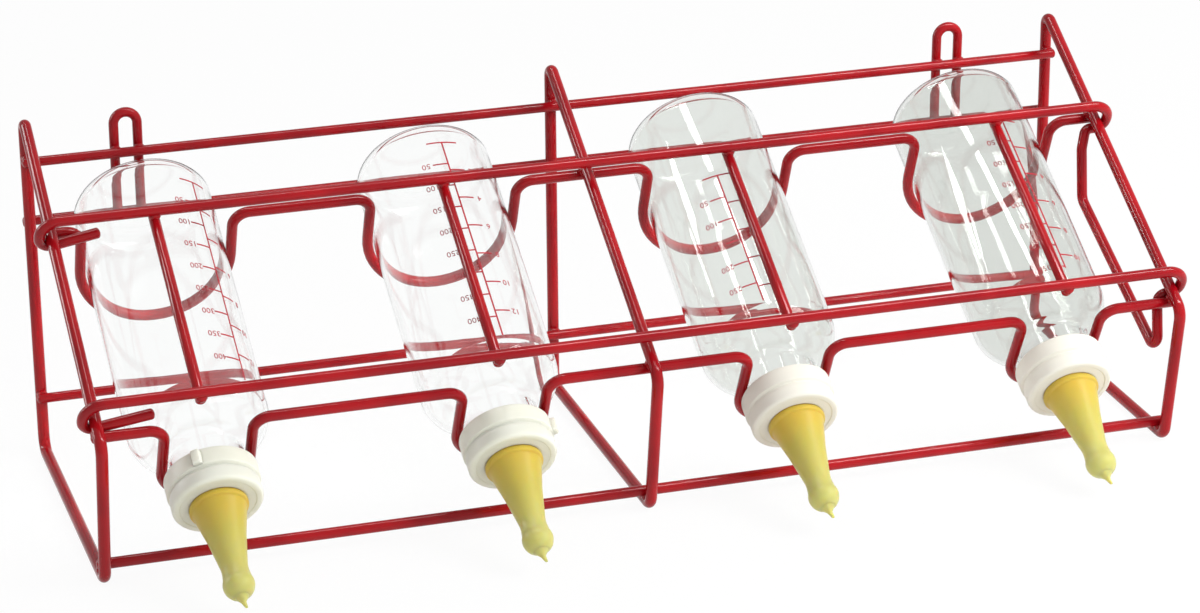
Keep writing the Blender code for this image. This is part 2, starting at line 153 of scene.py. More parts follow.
class RackLayout(bpy.types.PropertyGroup):
    """Where the wires and the bottles stand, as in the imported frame"""

    slope: turn("Slope", "Angle of the bottles below level", 30.66)
    upright_y: length("Upright", "How far back the uprights stand", 0.110828)
    foot_z: length("Foot height", "Height of the bottom wires' centre", 0.002772)
    front_height: length("Front height", "Height of the front corner above the foot", 0.0733)
    foot_setback: length("Foot setback", "How far the front leg leans", 0.0125)
    slope_length: length("Slope length", "Apex to front corner along the slope", 0.207974)
    apex_bend: length("Apex bend", "Bend radius at the apex", 0.0036)
    frame_bend: length("Frame bend", "Bend radius of the other corners", 0.0080)
    rear_along: length("Rear cradle", "Distance of the rear cradle down the slope", 0.070774)
    neck_along: length("Neck cradle", "Distance of the neck cradle down the slope", 0.196874)
    cradle_bend: length("Cradle bend", "Bend radius where a cradle starts to drop", 0.0085)
    neck_round: length("Neck cradle round", "Bend radius at the bottom of the neck cradle", 0.0155)
    rear_lean: turn("Rear lean", "Forward lean of the rear cradle", 8.0)
    neck_lean: turn("Neck lean", "Forward lean of the neck cradle", 3.5)
    axis_depth: length("Axis depth", "Bottle axis below the slope wires", 0.0320)
    bottle_x: four("Bottles", "Places of the bottles along the row", (-0.2226, -0.0758, 0.0710, 0.2178))
    bottle_along: four(
        "Bottle bases", "Distance of each base down the slope", (0.032374, 0.030174, 0.027974, 0.030974)
    )
    cap_turn: four("Cap turns", "Turn of each cap's lug in radians", (1.98, 0.28, -1.27, -1.07))
    loop_width: length("Loop width", "Width of a hanging loop between wire centres", 0.0120)


class WireSizes(bpy.types.PropertyGroup):
    """Diameters and bends of the coated wires"""

    frame: length("Frame wire", "Diameter of the frame wire", 0.0060)
    cradle: length("Cradle wire", "Diameter of the cradle wires", 0.0055)
    gate: length("Gate wire", "Diameter of the gate wire", 0.0055)
    rail: length("Rail wire", "Diameter of the back rails", 0.0050)
    gap: length("Gap", "Clearance between wires that touch", 0.0003)
    sides: count("Sides", "Sides of a wire's section", 20)
    bend_step: turn("Bend step", "Largest turn between two rings in a bend", 7.0)
    bead: length("Weld bead", "Radius of the coated bead at a joint", 0.0033)
    gate_length: length("Gate length", "Distance between the gate's two long wires", 0.1130)
    gate_top: length("Gate top", "Distance of the gate down the slope", 0.078074)
    hook_bend: length("Hook bend", "Bend radius at the top of a hook", 0.0105)
    hook_tail_top: length("Upper tail", "Reach of the upper hook's tail", 0.0240)
    hook_tail_bottom: length("Lower tail", "Reach of the lower hook's tail", 0.0285)
    bar_overrun: length("Bar overrun", "How far a bar passes the lower gate wire", 0.0020)


class BottleSizes(bpy.types.PropertyGroup):
    """Glass bottle, heights measured from its base"""

    radius: length("Radius", "Body radius", 0.0350)
    body: length("Body", "Length up to the shoulder", 0.1440)
    base_corner: length("Base corner", "Rounding of the base", 0.0090)
    punt: length("Punt", "Radius of the dished base", 0.0240)
    punt_depth: length("Punt depth", "Depth of the dished base", 0.0030)
    shoulder: length("Shoulder", "Length of the shoulder", 0.0215)
    shoulder_round: length("Shoulder round", "Rounding of the shoulder", 0.0180)
    neck: length("Neck", "Neck radius", 0.0185)
    neck_length: length("Neck length", "Length of the neck", 0.0098)
    finish: length("Finish", "Radius of the threaded end", 0.0205)
    lip: length("Lip", "Distance of the lip from the base", 0.1885)
    wall: length("Wall", "Glass thickness", 0.0020)
    floor: length("Glass floor", "Extra glass in the base", 0.0002)
    heel: length("Heel", "Rounding inside the base", 0.0070)
    sides: count("Sides", "Sides of the turned glass", 96)


class CapSizes(bpy.types.PropertyGroup):
    """Screw cap, heights measured from its back edge"""

    bore: length("Bore", "Inner radius", 0.0209)
    radius: length("Radius", "Outer radius of the back tier", 0.0230)
    step: length("Step", "Depth of the steps between the tiers", 0.0007)
    back_tier: length("Back tier", "Length of the back tier", 0.0090)
    groove: length("Groove", "Width of the groove between the tiers", 0.0010)
    height: length("Height", "Length of the whole cap", 0.0187)
    front_wall: length("Front wall", "Thickness of the front wall", 0.0027)
    edge: length("Edge", "Rounding of the front edge", 0.0020)
    opening: length("Opening", "Radius of the teat opening", 0.0140)
    lug_width: length("Lug width", "Width of the grip lug", 0.0050)
    lug_reach: length("Lug reach", "How far the grip lug stands out", 0.0026)
    sides: count("Sides", "Sides of the turned cap", 96)


class TeatSizes(bpy.types.PropertyGroup):
    """Rubber teat, heights measured from the back face of its flange"""

    flange: length("Flange", "Radius of the flange", 0.0196)
    flange_thickness: length("Flange thickness", "Thickness of the flange", 0.0022)
    plug: length("Plug", "Radius inside the cap's opening", 0.0137)
    collar: length("Collar", "Radius of the collar in front of the cap", 0.0145)
    collar_length: length("Collar length", "Length of the collar", 0.0030)
    waist: length("Waist", "Radius at the waist", 0.0061)
    bulb: length("Bulb", "Radius of the bulb", 0.0077)
    nib: length("Nib", "Length of the nib", 0.0060)
    nib_bend: length("Nib bend", "Sideways bend of the nib", 0.0011)
    face: length("Cap face", "Distance of the cap's face from the flange's back", 0.0052)
    length: length("Length", "Length of the teat in front of the cap", 0.0597)
    wall: length("Wall", "Rubber thickness", 0.0020)
    sides: count("Sides", "Sides of the turned teat", 64)


class ScaleSizes(bpy.types.PropertyGroup):
    """Printed graduations on each bottle"""

    column_turn: four("Columns", "Turn of each bottle's scale in radians", (0.90, 1.48, 1.80, 1.36))
    start: four(
        "First marks", "Distance of each scale's end from the base", (0.0170, 0.0170, 0.0600, 0.0420)
    )
    end: length("Last mark", "Distance of the scale's other end from the base", 0.1425)
    right_spacing: length("Right spacing", "Distance between the marks on the right", 0.0183)
    left_spacing: length("Left spacing", "Distance between the marks on the left", 0.0142)
    mark: length("Mark", "Length of a mark", 0.0080)
    line: length("Line", "Width of a mark", 0.0008)
    ink: length("Ink", "Thickness of the print", 0.00012)
    numeral: length("Numeral", "Height of the numerals", 0.0046)


class FinishColours(bpy.types.PropertyGroup):
    """Colours of the finishes"""

    red: colour("Red coating", "Dip coating of the wires", (0.375, 0.005, 0.009))
    red_deep: colour("Deep red", "Thicker patches of the coating", (0.275, 0.003, 0.007))
    glass: colour("Glass", "Clear glass", (0.992, 0.997, 0.994))
    glass_grey: colour("Grey glass", "Glass of an older melt", (0.880, 0.896, 0.876))
    glass_dark: colour("Darker glass", "Glass of the oldest melt", (0.832, 0.848, 0.826))
    cap: colour("New cap", "White cap plastic", (0.95, 0.975, 0.995))
    cap_used: colour("Used cap", "Cream cap plastic", (0.80, 0.81, 0.68))
    teat: colour("Teat", "Rubber of the cone", (0.67, 0.59, 0.12))
    teat_deep: colour("Teat base", "Thicker rubber at the collar", (0.76, 0.54, 0.07))
    teat_tip: colour("Teat tip", "Thinner rubber at the bulb", (0.70, 0.67, 0.22))
    print_red: colour("Print", "Red enamel of the graduations", (0.36, 0.010, 0.022))


class StageSettings(bpy.types.PropertyGroup):
    """Camera, even light and lamps"""

    camera: bpy.props.FloatVectorProperty(
        name="Camera",
        description="Place of the camera",
        default=(-0.5533, -1.7442, 0.8051),
        subtype="TRANSLATION",
    )
    heading: number("Heading", "Camera turn from +Y towards +X", 0.3016)
    pitch: number("Pitch", "Camera tilt above level", -0.3735)
    roll: number("Roll", "Camera roll", -0.00816)
    focal: number("Focal length", "Lens in millimetres", 117.4)
    sky: number("Sky", "Strength of the even light", 0.63)
    key: number("Key", "Power of the key lamp in watts", 12.5)
    strip: number("Strip", "Power of the side lamp in watts", 8.0)
    fill: number("Fill", "Power of the front lamp in watts", 7.0)
    top: number("Top", "Power of the overhead lamp in watts", 7.0)
    gleam: number("Gleam", "Power of the lamp mirrored in the wires", 18.0)


# Node helpers
def set_inputs(node, values):
    for name, value in values.items():
        node.inputs[name].default_value = value


def new_node(tree, kind, inputs=None, **settings):
    node = tree.nodes.new(kind)
    for name, value in settings.items():
        setattr(node, name, value)
    set_inputs(node, inputs or {})
    return node


def join(tree, *links):
    """Links sockets, each given as a node, its output, the next node and its input."""
    for source, output, target, socket in links:
        tree.links.new(source.outputs[output], target.inputs[socket])


def new_tree(name, sockets):
    """A Geometry Nodes tree with a geometry input, the named inputs and a geometry output."""
    tree = bpy.data.node_groups.new(name, "GeometryNodeTree")
    tree.interface.new_socket("Geometry", in_out="INPUT", socket_type="NodeSocketGeometry")
    for label, kind in sockets.items():
        tree.interface.new_socket(label, in_out="INPUT", socket_type="NodeSocket" + kind)
    tree.interface.new_socket("Geometry", in_out="OUTPUT", socket_type="NodeSocketGeometry")
    return tree, new_node(tree, "NodeGroupInput"), new_node(tree, "NodeGroupOutput")


def end_tree(tree, geometry, material_socket, output):
    """Realises the instances, shades them smooth and gives them their finish."""
    realise = new_node(tree, "GeometryNodeRealizeInstances")
    smooth = new_node(tree, "GeometryNodeSetShadeSmooth")
    paint = new_node(tree, "GeometryNodeSetMaterial")
    tree.links.new(geometry, realise.inputs["Geometry"])
    join(tree, (realise, "Geometry", smooth, "Geometry"), (smooth, "Geometry", paint, "Geometry"))
    tree.links.new(material_socket, paint.inputs["Material"])
    join(tree, (paint, "Geometry", output, "Geometry"))


def wire_tree():
    """Sweeps a round section along a path of edges, thinned at its ends by the thickness attribute."""
    existing = bpy.data.node_groups.get("coated_wire")
    if existing:
        return existing
    sockets = {"Diameter": "Float", "Sides": "Int", "Material": "Material"}
    tree, given, output = new_tree("coated_wire", sockets)
    path = new_node(tree, "GeometryNodeMeshToCurve")
    thickness = new_node(tree, "GeometryNodeInputNamedAttribute", {"Name": "thickness"}, data_type="FLOAT")
    radius = new_node(tree, "GeometryNodeSetCurveRadius")
    half = new_node(tree, "ShaderNodeMath", {1: 0.5}, operation="MULTIPLY")
    section = new_node(tree, "GeometryNodeCurvePrimitiveCircle")
    sweep = new_node(tree, "GeometryNodeCurveToMesh", {"Fill Caps": True})
    join(
        tree,
        (given, "Geometry", path, "Mesh"), (path, "Curve", radius, "Curve"),
        (thickness, "Attribute", radius, "Radius"), (given, "Diameter", half, 0),
        (half, 0, section, "Radius"), (given, "Sides", section, "Resolution"),
        (radius, "Curve", sweep, "Curve"), (section, "Curve", sweep, "Profile Curve"),
    )
    if "Scale" in sweep.inputs:
        join(tree, (thickness, "Attribute", sweep, "Scale"))
    end_tree(tree, sweep.outputs["Mesh"], given.outputs["Material"], output)
    return tree


def bead_tree():
    """A small round bead of coating at each given point."""
    existing = bpy.data.node_groups.get("weld_beads")
    if existing:
        return existing
    tree, given, output = new_tree("weld_beads", {"Radius": "Float", "Material": "Material"})
    bead = new_node(tree, "GeometryNodeMeshIcoSphere", {"Subdivisions": 3})
    put = new_node(tree, "GeometryNodeInstanceOnPoints")
    join(
        tree,
        (given, "Radius", bead, "Radius"), (given, "Geometry", put, "Points"),
        (bead, "Mesh", put, "Instance"),
    )
    end_tree(tree, put.outputs["Instances"], given.outputs["Material"], output)
    return tree


def mark_tree():
    """A ladder of printed marks, each an arc round the bottle's own Z axis."""
    existing = bpy.data.node_groups.get("scale_marks")
    if existing:
        return existing
    sockets = {"Count": "Int", "Material": "Material"}
    sockets |= dict.fromkeys(("Start", "Spacing", "Radius", "From", "Sweep", "Line", "Ink"), "Float")
    tree, given, output = new_tree("scale_marks", sockets)
    arc_line = new_node(tree, "GeometryNodeCurveArc", {"Resolution": 8})
    section = new_node(tree, "GeometryNodeCurvePrimitiveQuadrilateral")
    sweep = new_node(tree, "GeometryNodeCurveToMesh", {"Fill Caps": True})
    first = new_node(tree, "ShaderNodeCombineXYZ")
    offset = new_node(tree, "ShaderNodeCombineXYZ")
    ladder = new_node(tree, "GeometryNodeMeshLine")
    put = new_node(tree, "GeometryNodeInstanceOnPoints")
    join(
        tree,
        (given, "Radius", arc_line, "Radius"), (given, "From", arc_line, "Start Angle"),
        (given, "Sweep", arc_line, "Sweep Angle"), (given, "Ink", section, "Width"),
        (given, "Line", section, "Height"), (arc_line, "Curve", sweep, "Curve"),
        (section, "Curve", sweep, "Profile Curve"), (given, "Start", first, "Z"),
        (given, "Spacing", offset, "Z"), (given, "Count", ladder, "Count"),
        (first, "Vector", ladder, "Start Location"), (offset, "Vector", ladder, "Offset"),
        (ladder, "Mesh", put, "Points"), (sweep, "Mesh", put, "Instance"),
    )
    end_tree(tree, put.outputs["Instances"], given.outputs["Material"], output)
    return tree


def add_object(name, data):
    made = bpy.data.objects.new(name, data)
    bpy.context.scene.collection.objects.link(made)
    return made


def evaluated_mesh(maker):
    """The plain mesh of an object as its modifiers leave it. The object itself is removed."""
    graph = bpy.context.evaluated_depsgraph_get()
    graph.update()
    mesh = bpy.data.meshes.new_from_object(maker.evaluated_get(graph))
    bpy.data.objects.remove(maker, do_unlink=True)
    return mesh


def grown_mesh(name, seed_mesh, tree, values):
    """The plain mesh that a tree makes from a seed mesh, with its inputs set by identifier."""
    maker = add_object(name + "_maker", seed_mesh)
    modifier = maker.modifiers.new("Build", "NODES")
    modifier.node_group = tree
    for item in tree.interface.items_tree:
        if item.in_out == "INPUT" and item.name in values:
            modifier[item.identifier] = values[item.name]
    mesh = evaluated_mesh(maker)
    mesh.name = name
    return mesh


def write_mesh(maker, mesh, merge=None):
    """Merges doubles where asked, points the faces outwards and writes the mesh."""
    if merge:
        bmesh.ops.remove_doubles(maker, verts=maker.verts, dist=merge)
    bmesh.ops.recalc_face_normals(maker, faces=maker.faces)
    maker.to_mesh(mesh)
    maker.free()


def shade(mesh):
    mesh.shade_smooth()
    mesh.set_sharp_from_angle(angle=SHARP_ANGLE)


def add_piece(name, mesh, body, replaces=()):
    """Links a finished piece at the origin and ties it to its body."""
    piece = add_object(name, mesh)
    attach(piece, body)
    if replaces:
        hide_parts(*replaces)
    return piece


# Paths
def slope_axes():
    rack = bpy.context.scene.rack_layout
    out = Vector((0.0, -math.sin(rack.slope), math.cos(rack.slope)))
    down = Vector((0.0, -math.cos(rack.slope), -math.sin(rack.slope)))
    return out, down


def apex_height():
    rack = bpy.context.scene.rack_layout
    return rack.foot_z + rack.front_height + rack.slope_length * math.sin(rack.slope)


def slope_point(x, height, along):
    """A point above the slope wires and down the slope from the apex."""
    out, down = slope_axes()
    apex = Vector((x, bpy.context.scene.rack_layout.upright_y, apex_height()))
    return apex + out * height + down * along


def bend(before, corner, after, radius, steps=None, most=0.98, least=1e-4):
    """Points of the arc that rounds one corner, within a share of its shorter side."""
    arriving = (corner - before).normalized()
    leaving = (after - corner).normalized()
    angle = arriving.angle(leaving)
    if radius <= 0.0 or angle < least:
        return [corner]
    room = min((corner - before).length, (after - corner).length)
    reach = min(radius * math.tan(angle / 2), most * room)
    radius = reach / math.tan(angle / 2)
    centre = corner + (leaving - arriving).normalized() * math.hypot(radius, reach)
    steps = steps or max(2, math.ceil(angle / bpy.context.scene.rack_wires.bend_step))
    arm = corner - arriving * reach - centre
    return [
        centre + arm * math.cos(angle * k / steps) + arriving * radius * math.sin(angle * k / steps)
        for k in range(steps + 1)
    ]


def bent_path(corners, radii, closed=False):
    """Straight runs between the corners, joined by arcs."""
    points = []
    last = len(corners) - 1
    for i, corner in enumerate(corners):
        if not closed and i in (0, last):
            points.append(corner)
            continue
        points += bend(corners[i - 1], corner, corners[(i + 1) % len(corners)], radii[i])
    return [p for i, p in enumerate(points) if i == 0 or (p - points[i - 1]).length > SAME_POINT]


def domed(points, radius):
    """The path with its two ends drawn in to a low dome, as dipped coating leaves them."""
    reach = DOME_REACH * radius
    first = (points[1] - points[0]).normalized()
    final = (points[-2] - points[-1]).normalized()
    steps = [(1 - math.sin(angle), max(DOME_TIP, math.cos(angle))) for angle in DOME_ANGLES]
    start = [(points[0] + first * reach * depth, scale) for depth, scale in steps]
    finish = [(points[-1] + final * reach * depth, scale) for depth, scale in reversed(steps)]
    return start + [(point, 1.0) for point in points[1:-1]] + finish


def build_wire(name, points, diameter, body, closed=False):
    """A coated wire that stands for the CAD node of the same name."""
    path = [(point, 1.0) for point in points] if closed else domed(points, diameter / 2)
    edges = [(i, i + 1) for i in range(len(path) - 1)]
    if closed:
        edges.append((len(path) - 1, 0))
    seed = bpy.data.meshes.new(name + "_path")
    seed.from_pydata([point for point, _ in path], edges, [])
    thickness = seed.attributes.new("thickness", "FLOAT", "POINT")
    thickness.data.foreach_set("value", [scale for _, scale in path])
    values = {
        "Diameter": diameter,
        "Sides": bpy.context.scene.rack_wires.sides,
        "Material": red_coating(),
    }
    mesh = grown_mesh("coated_" + name, seed, wire_tree(), values)
    maker = bmesh.new()
    maker.from_mesh(mesh)
    write_mesh(maker, mesh, WIRE_MERGE)
    add_piece("coated_" + name, mesh, body, [name])


def middle(node):
    low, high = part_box(node)
    return (low + high) / 2


def straight_wire(name, diameter, body):
    """A straight wire along X between the ends of its CAD node."""
    centre = middle(name)
    ends = [Vector((end.x, centre.y, centre.z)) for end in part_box(name)]
    build_wire(name, ends, diameter, body)


def frame_corners(x):
    rack = bpy.context.scene.rack_layout
    y = rack.upright_y
    depth = rack.slope_length * math.cos(rack.slope) - rack.foot_setback
    return [
        Vector((x, y, apex_height())),
        Vector((x, y, rack.foot_z)),
        Vector((x, y - depth, rack.foot_z)),
        Vector((x, y - depth - rack.foot_setback, rack.foot_z + rack.front_height)),
    ]


def cradle_offset():
    wires = bpy.context.scene.rack_wires
    return wires.frame / 2 + wires.gap + wires.cradle / 2


def cradle_points(along, half_width, round_radius, lean, half_span):
    rack = bpy.context.scene.rack_layout
    depth = cradle_offset()
    drop = rack.axis_depth - depth + half_width
    forward = drop * math.tan(lean)
    corners = [slope_point(-half_span, -depth, along)]
    radii = [0.0]
    for x in rack.bottle_x:
        for side, deep in ((-1, 0), (-1, 1), (1, 1), (1, 0)):
            edge = x + side * half_width
            corners.append(slope_point(edge, -depth - deep * drop, along + deep * forward))
        radii += [rack.cradle_bend, round_radius, round_radius, rack.cradle_bend]
    corners.append(slope_point(half_span, -depth, along))
    radii.append(0.0)
    return bent_path(corners, radii)


def gate_heights():
    """Heights of the gate's bars and of its long wires above the slope wires."""
    scene = bpy.context.scene
    wires = scene.rack_wires
    bar = scene.rack_bottle.radius - scene.rack_layout.axis_depth + wires.gap + wires.gate / 2
    return bar, bar + wires.gate + wires.gap


def gate_points(end_x):
    """The one long gate wire, from its upper left tail round to its lower left tail."""
    wires = bpy.context.scene.rack_wires
    hug = wires.frame / 2 + wires.gap + wires.gate / 2
    outer = end_x + hug
    shoulder = end_x - DIP_SHOULDER_BEND
    _, high = gate_heights()
    top = wires.gate_top
    low = top + wires.gate_length

    def tail_corner(tail):
        return -(hug + tail) * math.tan(math.asin(hug / tail))

    path = [
        ((-end_x + wires.hook_tail_top, 0.0, top), 0.0),
        ((-outer, tail_corner(wires.hook_tail_top), top), hug),
        ((-outer, high, top), wires.hook_bend),
        ((outer, high, top), wires.hook_bend),
        ((outer, -hug, top), hug),
        ((shoulder, -hug, top), DIP_SHOULDER_BEND),
        ((end_x - DIP_INSET, -2 * hug, top + DIP_FALL_START), DIP_BEND),
        ((end_x - DIP_INSET, -DIP_DEPTH, top + DIP_FALL), DIP_BEND),
        ((end_x - DIP_TIP_INSET, -DIP_TIP_DEPTH, low + DIP_TIP_PAST_GATE), DIP_TIP_BEND),
        ((shoulder, -2 * hug, low + wires.gate / 4), DIP_SHOULDER_BEND),
        ((shoulder, -hug, low), DIP_SHOULDER_BEND),
        ((outer, -hug, low), hug),
        ((outer, high, low), wires.hook_bend),
        ((-outer, high, low), wires.hook_bend),
        ((-outer, tail_corner(wires.hook_tail_bottom), low), hug),
        ((-end_x + wires.hook_tail_bottom, 0.0, low), 0.0),
    ]
    corners = [slope_point(*corner) for corner, _ in path]
    return bent_path(corners, [radius for _, radius in path])


# Turned pieces
def arc(centre, radius, start, end, steps):
    return [
        (
            centre[0] + radius * math.cos(start + (end - start) * k / steps),
            centre[1] + radius * math.sin(start + (end - start) * k / steps),
        )
        for k in range(steps + 1)
    ]


def rounded_profile(points):
    """A profile of (radius, height, rounding) corners with its corners rounded off."""
    corners = [Vector((r, h, 0.0)) for r, h, _ in points]
    rounded = [corners[0]]
    for i in range(1, len(points) - 1):
        rounded += bend(*corners[i - 1 : i + 2], points[i][2], steps=4, most=0.49, least=0.02)
    return [(point.x, point.y) for point in rounded + corners[-1:]]


def turned(name, profile, sides, material, closed=False):
    """A mesh turned about its own Z axis, with its faces outwards."""
    maker = bmesh.new()
    verts = [maker.verts.new((r, 0.0, h)) for r, h in profile]
    ends = verts + [verts[0]] if closed else verts
    edges = [maker.edges.new(pair) for pair in zip(ends, ends[1:])]
    bmesh.ops.spin(
        maker,
        geom=verts + edges,
        cent=(0.0, 0.0, 0.0),
        axis=(0.0, 0.0, 1.0),
        angle=2 * math.pi,
        steps=sides,
        use_merge=True,
    )
    mesh = bpy.data.meshes.new(name)
    write_mesh(maker, mesh, TURNED_MERGE)
    mesh.materials.append(material)
    shade(mesh)
    return mesh


def bottle_place(i):
    """The matrix that puts a bottle's own axes, Z towards its cap, in the rack."""
    rack = bpy.context.scene.rack_layout
    out, down = slope_axes()
    base = slope_point(rack.bottle_x[i], -rack.axis_depth, rack.bottle_along[i])
    matrix = Matrix((Vector((1.0, 0.0, 0.0)), out, down)).transposed().to_4x4()
    matrix.translation = base
    return matrix


def cap_start():
    bottle = bpy.context.scene.rack_bottle
    return bottle.body + bottle.shoulder + bottle.neck_length


def glass_side(inset, base_inset, steps):
    """One side of the glass from the middle of the base to the neck."""
    bottle = bpy.context.scene.rack_bottle
    fall = bottle.radius - bottle.neck
    sweep = (fall**2 + bottle.shoulder**2) / (2 * fall)
    tilt = math.asin(min(1.0, bottle.shoulder / sweep))
    shoulder = min(bottle.shoulder_round, 0.8 * sweep)
    throat = sweep - shoulder
    end = bottle.body + bottle.shoulder
    points = []
    for k in range(steps):
        radius = bottle.punt * k / (steps - 1)
        dish = bottle.punt_depth * (1 - (radius / bottle.punt) ** 2)
        points.append((radius, dish + base_inset))
    corner = bottle.heel if inset > 0.0 else bottle.base_corner
    centre = (bottle.radius - inset - corner, base_inset + corner)
    points = [point for point in points if point[0] < centre[0]]
    points += arc(centre, corner, -math.pi / 2, 0.0, steps)
    points += arc((bottle.radius - shoulder, bottle.body), shoulder - inset, 0.0, tilt, steps)
    points += arc((bottle.neck + throat, end), throat + inset, math.pi + tilt, math.pi, steps)[1:]
    return points


def glass_profile():
    bottle = bpy.context.scene.rack_bottle
    start = cap_start() + bpy.context.scene.rack_wires.gap
    finish = rounded_profile(
        [
            (bottle.neck, start - 0.0005, 0.0),
            (bottle.neck, start, 0.0004),
            (bottle.finish, start + 0.0007, 0.0004),
            (bottle.finish, bottle.lip, 0.0010),
            (bottle.neck - bottle.wall, bottle.lip, 0.0010),
            (bottle.neck - bottle.wall, bottle.lip - 0.0050, 0.0),
        ]
    )
    inside = glass_side(bottle.wall, bottle.wall + bottle.floor, 10)
    return glass_side(0.0, 0.0, 12) + finish + inside[::-1]


def cap_profile():
    cap = bpy.context.scene.rack_cap
    front = cap.radius - cap.step
    groove = front - cap.step
    edge = cap.back_tier + cap.step
    face = cap.height
    corners = [
        (cap.bore, face - cap.front_wall, 0.0),
        (cap.bore, 0.0, 0.0004),
        (cap.radius, 0.0, 0.0009),
        (cap.radius, cap.back_tier, 0.0005),
        (groove, edge, 0.0002),
        (groove, edge + cap.groove, 0.0002),
        (front, edge + cap.groove + cap.step, 0.0004),
        (front, face, cap.edge),
        (front - 1.7 * cap.edge, face, 0.0004),
        (front - 1.9 * cap.edge, face - 0.0004, 0.0004),
        (cap.opening + 0.0010, face - 0.0002, 0.0004),
        (cap.opening, face - 0.0002, 0.0003),
        (cap.opening, face - cap.front_wall, 0.0),
    ]
    return rounded_profile(corners)


def add_lug(mesh, width, reach, start, end, radius):
    """A rounded grip rib on the cap's back tier, beside +X."""
    maker = bmesh.new()
    maker.from_mesh(mesh)
    cube = bmesh.ops.create_cube(maker, size=1.0)["verts"]
    depth = reach + LUG_ROOT
    for vert in cube:
        taper = LUG_TAPERS[0] if vert.co.x > 0 else LUG_TAPERS[1]
        vert.co = Vector(
            (
                radius - LUG_ROOT + depth * (vert.co.x + 0.5),
                vert.co.y * width * taper,
                (start + end) / 2 + vert.co.z * (end - start),
            )
        )
    rib = {face for vert in cube for face in vert.link_faces}
    edges = list({edge for face in rib for edge in face.edges})
    bmesh.ops.bevel(maker, geom=edges, offset=LUG_EDGE, segments=3, affect="EDGES", profile=0.5)
    write_mesh(maker, mesh)
    shade(mesh)


def teat_profile():
    teat = bpy.context.scene.rack_teat
    gap = bpy.context.scene.rack_wires.gap
    tip = teat.face + teat.length
    bulb_end = tip - teat.nib
    centre = bulb_end - teat.bulb + 0.0006
    waist = centre - 1.15 * teat.bulb
    collar = teat.face + gap
    cone = waist - collar - teat.collar_length
    end, slim, root = NIB_RADII
    outside = rounded_profile(
        [
            (0.0, tip, 0.0),
            (end, tip, 0.0004),
            (slim, bulb_end + 0.0026, 0.0030),
            (root, bulb_end - 0.0006, 0.0),
        ]
    )
    outside += arc((0.0, centre), teat.bulb, math.radians(62), math.radians(-24), 14)
    outside += rounded_profile(
        [
            (teat.bulb * 0.905, centre - 0.43 * teat.bulb, 0.0),
            (teat.waist + 0.0002, waist, 0.0180),
            (teat.waist + (teat.collar - teat.waist) * 0.42, waist - cone * 0.55, 0.0300),
            (teat.waist + (teat.collar - teat.waist) * 0.86, waist - cone, 0.0010),
            (teat.collar, collar + teat.collar_length * 0.8, 0.0009),
            (teat.collar, collar, 0.0005),
            (teat.plug, collar, 0.0),
        ]
    )
    outside += [(r, teat.flange_thickness) for r in (teat.plug, teat.flange)]
    outside.append((teat.flange, 0.0))
    bore = teat.plug - teat.wall
    inside = rounded_profile(
        [
            (bore, 0.0, 0.0),
            (bore, collar + 0.0020, 0.0040),
            (teat.waist - teat.wall + 0.0022, waist - cone * 0.55, 0.0200),
            (teat.waist - teat.wall, waist, 0.0080),
            ((teat.bulb - teat.wall) * 0.906, centre - (teat.bulb - teat.wall) * 0.42, 0.0),
        ]
    )
    inside += arc((0.0, centre), teat.bulb - teat.wall, math.radians(-22), math.radians(90), 12)
    return outside + inside, bulb_end, tip


def scale_numeral(text, angle, along, size, radius, ink):
    """One numeral as a thin mesh wrapped round the bottle, its top towards the cap."""
    curve = bpy.data.curves.new("numeral", "FONT")
    curve.body = text
    curve.size = size
    curve.align_x = "CENTER"
    curve.align_y = "CENTER"
    curve.resolution_u = 3
    curve.extrude = ink / 2
    mesh = evaluated_mesh(add_object("numeral", curve))
    for vert in mesh.vertices:
        x, y, z = vert.co
        around = angle + x / radius
        reach = radius + z
        vert.co = (reach * math.cos(around), reach * math.sin(around), along + y)
    return mesh


# Finishes
def new_material(name):
    """A new material with its tree and shader, or the one already made with neither."""
    known = bpy.data.materials.get(name)
    if known:
        return known, None, None
    material = bpy.data.materials.new(name)
    material.use_nodes = True
    tree = material.node_tree
    return material, tree, tree.nodes["Principled BSDF"]


def noise(tree, scale, detail):
    """The value of a noise on the piece's Object coordinates."""
    place = new_node(tree, "ShaderNodeTexCoord")
    node = new_node(tree, "ShaderNodeTexNoise", {"Scale": scale, "Detail": detail, "Roughness": 0.5})
    join(tree, (place, "Object", node, "Vector"))
    return node.outputs["Fac"]


def tint(tree, shader, source, *stops):
    """Colours the shader by a ramp over the source, with stops as (place, colour)."""
    ramp = new_node(tree, "ShaderNodeValToRGB")
    elements = ramp.color_ramp.elements
    while len(elements) < len(stops):
        elements.new(0.5)
    for element, (place, value) in zip(elements, stops):
        element.position = place
        element.color = (*value, 1.0)
    tree.links.new(source, ramp.inputs["Fac"])
    join(tree, (ramp, "Color", shader, "Base Color"))


def vary_roughness(tree, shader, source, low, high):
    spread = new_node(tree, "ShaderNodeMapRange", {"To Min": low, "To Max": high})
    tree.links.new(source, spread.inputs["Value"])
    join(tree, (spread, "Result", shader, "Roughness"))


def bump(tree, shader, source, strength, distance):
    node = new_node(tree, "ShaderNodeBump", {"Strength": strength, "Distance": distance})
    tree.links.new(source, node.inputs["Height"])
    join(tree, (node, "Normal", shader, "Normal"))


